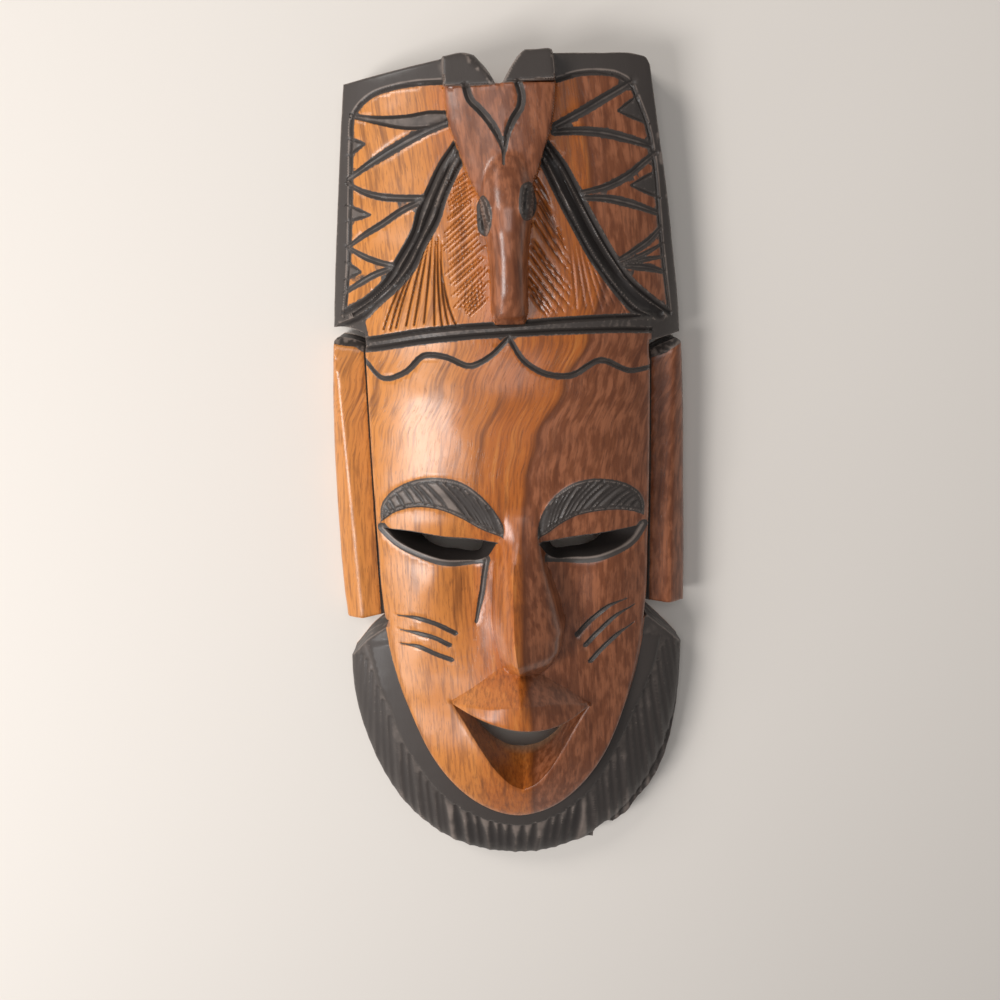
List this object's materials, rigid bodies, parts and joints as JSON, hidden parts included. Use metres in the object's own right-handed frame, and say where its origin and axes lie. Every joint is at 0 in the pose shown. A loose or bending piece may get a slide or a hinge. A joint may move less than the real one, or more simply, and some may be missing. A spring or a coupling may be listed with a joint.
{
  "type": "carved wooden wall mask",
  "caption": "Long carved hardwood face mask with an antelope-head headdress, side flaps, pierced eyes and mouth, a fluted beard and a hollow back.",
  "frame": {"origin": "on the plane of the flat back, below the middle of the outline", "axes": "+Y towards the crown, +Z out of the face, +X to the right as the mask is looked at"},
  "size_m": [0.1336, 0.315, 0.0591],
  "materials": {
    "wood": "polished red-brown hardwood with charcoal-stained carving"
  },
  "bodies": {
    "root": {"mask": "wood"}
  },
  "joints": []
}
